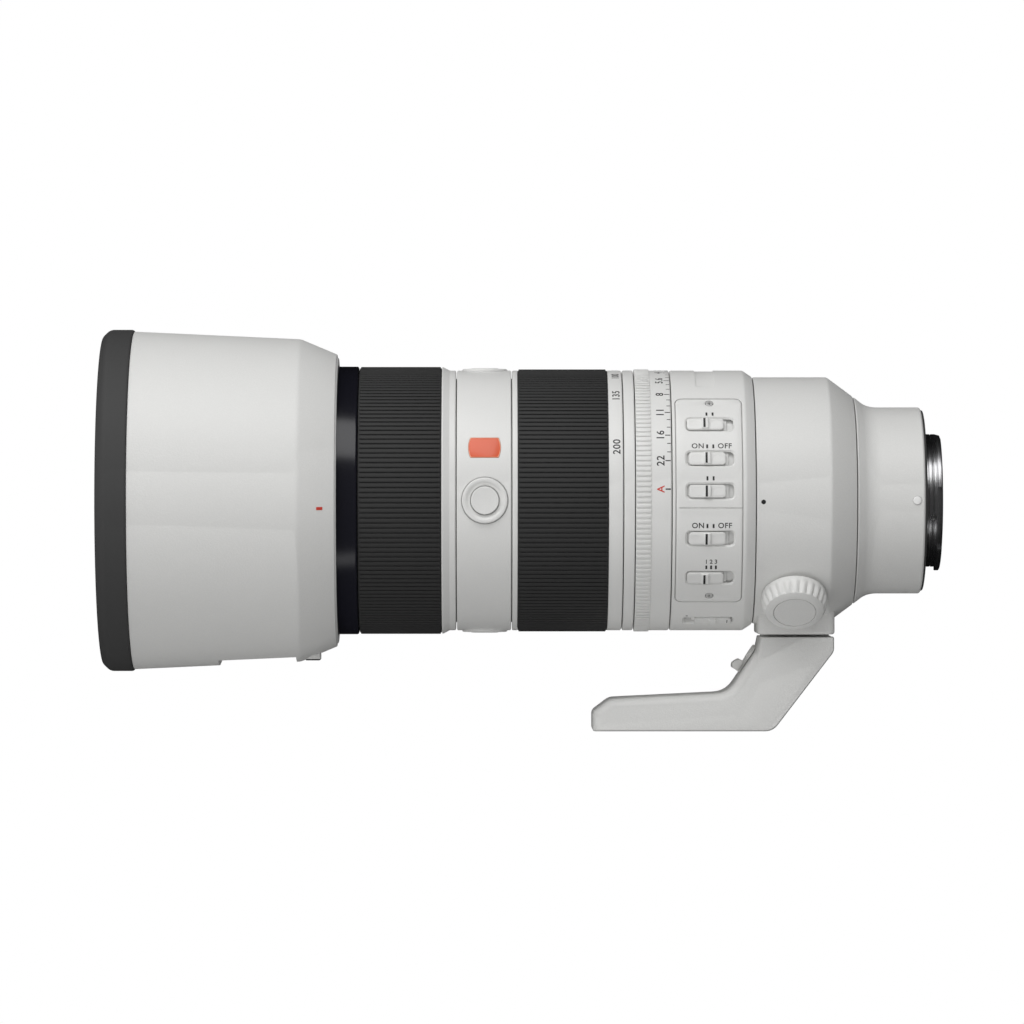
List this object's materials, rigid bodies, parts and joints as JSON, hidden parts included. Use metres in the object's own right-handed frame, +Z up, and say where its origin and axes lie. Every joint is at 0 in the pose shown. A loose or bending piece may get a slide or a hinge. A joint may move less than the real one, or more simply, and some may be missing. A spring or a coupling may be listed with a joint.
{
  "type": "telephoto zoom lens",
  "caption": "White telephoto zoom lens with a bayonet hood, rubber focus and zoom grips, aperture ring, slide switches, turning tripod collar and long quick-release foot.",
  "frame": {"origin": "centre of the mount flange, where the optical axis crosses it", "axes": "+X along the optical axis towards the camera, +Z up, -Y towards the switch side"},
  "size_m": [0.2746, 0.1122, 0.1316],
  "materials": {
    "white_barrel": "satin",
    "white_hood": "matte",
    "white_metal": "satin",
    "grip_rubber": "matte",
    "bumper_rubber": "matte",
    "gloss_black": "gloss",
    "black_plastic": "matte",
    "inner_metal": "matte",
    "glass": "polished",
    "mount_metal": "polished",
    "steel": "satin",
    "brass": "satin",
    "board_green": "satin",
    "badge_enamel": "gloss"
  },
  "bodies": {
    "barrel": {"main_barrel": "inner_metal", "front_ring": "gloss_black", "front_cell": "black_plastic", "front_glass": "glass", "focus_rods": "steel", "focus_motor": "brass", "button_belt": "white_barrel", "hold_button_bezels": "white_barrel", "badge_plate": "badge_enamel", "guide_barrel": "black_plastic", "index_band": "white_barrel", "iris_housing": "black_plastic", "iris_blades": "black_plastic", "switch_barrel": "white_metal", "switch_panel": "white_barrel", "panel_screws": "steel", "rear_barrel": "white_metal", "rear_cell": "inner_metal", "rear_glass": "glass", "circuit_board": "board_green", "mount_gasket": "bumper_rubber", "mount_dot": "white_barrel", "bayonet": "mount_metal", "bayonet_screws": "steel", "contact_block": "black_plastic", "contact_pins": "brass"},
    "hood": {"hood_shell": "white_hood", "hood_bumper": "bumper_rubber"},
    "hood_button": {"hood_release_button": "white_hood"},
    "window_cover": {"hood_window": "white_hood"},
    "focus": {"focus_ring": "white_barrel", "focus_grip": "grip_rubber"},
    "focus_group": {"focus_cell": "black_plastic", "focus_glass": "glass"},
    "zoom": {"zoom_ring": "white_barrel", "zoom_grip": "grip_rubber", "zoom_key": "steel", "cam_barrel": "black_plastic"},
    "zoom_group": {"zoom_cell": "black_plastic", "zoom_glass": "glass"},
    "aperture": {"aperture_ring": "white_barrel"},
    "stabiliser_lift": {"stabiliser_frame": "black_plastic"},
    "stabiliser_shift": {"stabiliser_cell": "black_plastic", "stabiliser_glass": "glass"},
    "hold_side": {"hold_button_side": "white_barrel"},
    "hold_top": {"hold_button_top": "white_barrel"},
    "hold_bottom": {"hold_button_bottom": "white_barrel"},
    "mode_slider": {"focus_mode_switch": "white_barrel"},
    "full_time_slider": {"full_time_switch": "white_barrel"},
    "limit_slider": {"focus_limit_switch": "white_barrel"},
    "steady_slider": {"stabiliser_switch": "white_barrel"},
    "steady_mode_slider": {"stabiliser_mode_switch": "white_barrel"},
    "iris_lock_slider": {"iris_lock_switch": "white_barrel"},
    "iris_click_slider": {"iris_click_switch": "white_barrel"},
    "collar": {"collar_ring": "white_metal"},
    "knob": {"collar_knob": "white_metal", "knob_cap": "white_metal"},
    "foot": {"foot": "white_metal", "foot_bush": "steel"},
    "lever": {"foot_lever": "white_metal"}
  },
  "joints": [
    {"name": "hood_turn", "type": "hinge", "parent": "barrel", "child": "hood", "pos_m": [-0.195, 0, 0], "axis": [-1, 0, 0], "range_deg": [0, 60]},
    {"name": "hood_release_press", "type": "slide", "parent": "hood", "child": "hood_button", "axis": [0, 0, 1], "range_m": [0, 0.001], "stiffness_N_per_m": 400},
    {"name": "hood_window_slide", "type": "hinge", "parent": "hood", "child": "window_cover", "pos_m": [-0.217, 0, 0], "axis": [-1, 0, 0], "range_deg": [0, 22]},
    {"name": "focus_turn", "type": "hinge", "parent": "barrel", "child": "focus", "pos_m": [-0.169, 0, 0], "axis": [1, 0, 0], "continuous": true},
    {"name": "focus_group_slide", "type": "slide", "parent": "barrel", "child": "focus_group", "axis": [1, 0, 0], "range_m": [-0.004, 0.004]},
    {"name": "zoom_turn", "type": "hinge", "parent": "barrel", "child": "zoom", "pos_m": [-0.117, 0, 0], "axis": [-1, 0, 0], "range_deg": [0, 66]},
    {"name": "zoom_group_slide", "type": "slide", "parent": "barrel", "child": "zoom_group", "axis": [1, 0, 0], "range_m": [0, 0.0301]},
    {"name": "aperture_turn", "type": "hinge", "parent": "barrel", "child": "aperture", "pos_m": [-0.089, 0, 0], "axis": [-1, 0, 0], "range_deg": [0, 85]},
    {"name": "stabiliser_lift", "type": "slide", "parent": "barrel", "child": "stabiliser_lift", "axis": [0, 0, 1], "range_m": [-0.0008, 0.0008]},
    {"name": "stabiliser_shift", "type": "slide", "parent": "stabiliser_lift", "child": "stabiliser_shift", "axis": [0, 1, 0], "range_m": [-0.0008, 0.0008]},
    {"name": "hold_side_press", "type": "slide", "parent": "barrel", "child": "hold_side", "axis": [0, 1, 0], "range_m": [0, 0.0005], "stiffness_N_per_m": 400},
    {"name": "hold_top_press", "type": "slide", "parent": "barrel", "child": "hold_top", "axis": [0, 0, -1], "range_m": [0, 0.0005], "stiffness_N_per_m": 400},
    {"name": "hold_bottom_press", "type": "slide", "parent": "barrel", "child": "hold_bottom", "axis": [0, 0, 1], "range_m": [0, 0.0005], "stiffness_N_per_m": 400},
    {"name": "focus_mode_slide", "type": "slide", "parent": "barrel", "child": "mode_slider", "axis": [1, 0, 0], "range_m": [0, 0.003]},
    {"name": "full_time_slide", "type": "slide", "parent": "barrel", "child": "full_time_slider", "axis": [1, 0, 0], "range_m": [0, 0.002]},
    {"name": "focus_limit_slide", "type": "slide", "parent": "barrel", "child": "limit_slider", "axis": [1, 0, 0], "range_m": [0, 0.002]},
    {"name": "stabiliser_switch_slide", "type": "slide", "parent": "barrel", "child": "steady_slider", "axis": [1, 0, 0], "range_m": [0, 0.002]},
    {"name": "stabiliser_mode_slide", "type": "slide", "parent": "barrel", "child": "steady_mode_slider", "axis": [1, 0, 0], "range_m": [0, 0.003]},
    {"name": "iris_lock_slide", "type": "slide", "parent": "barrel", "child": "iris_lock_slider", "axis": [-1, 0, 0], "range_m": [0, 0.003]},
    {"name": "iris_click_slide", "type": "slide", "parent": "barrel", "child": "iris_click_slider", "axis": [1, 0, 0], "range_m": [0, 0.003]},
    {"name": "collar_turn", "type": "hinge", "parent": "barrel", "child": "collar", "pos_m": [-0.04, 0, 0], "axis": [1, 0, 0], "continuous": true},
    {"name": "knob_turn", "type": "hinge", "parent": "collar", "child": "knob", "pos_m": [-0.0433, -0.0263, -0.0308], "axis": [0, -0.6494, -0.7604], "range_deg": [0, 360]},
    {"name": "foot_slide", "type": "slide", "parent": "collar", "child": "foot", "axis": [-1, 0, 0], "range_m": [0, 0.028]},
    {"name": "foot_lever_turn", "type": "hinge", "parent": "foot", "child": "lever", "pos_m": [-0.0559, 0, -0.05064], "axis": [-0.8374, 0, 0.5466], "range_deg": [0, 90]}
  ],
  "couplings": [
    {"joint": "zoom_group_slide", "follows": "zoom_turn", "m_per_rad": 0.026044}
  ]
}
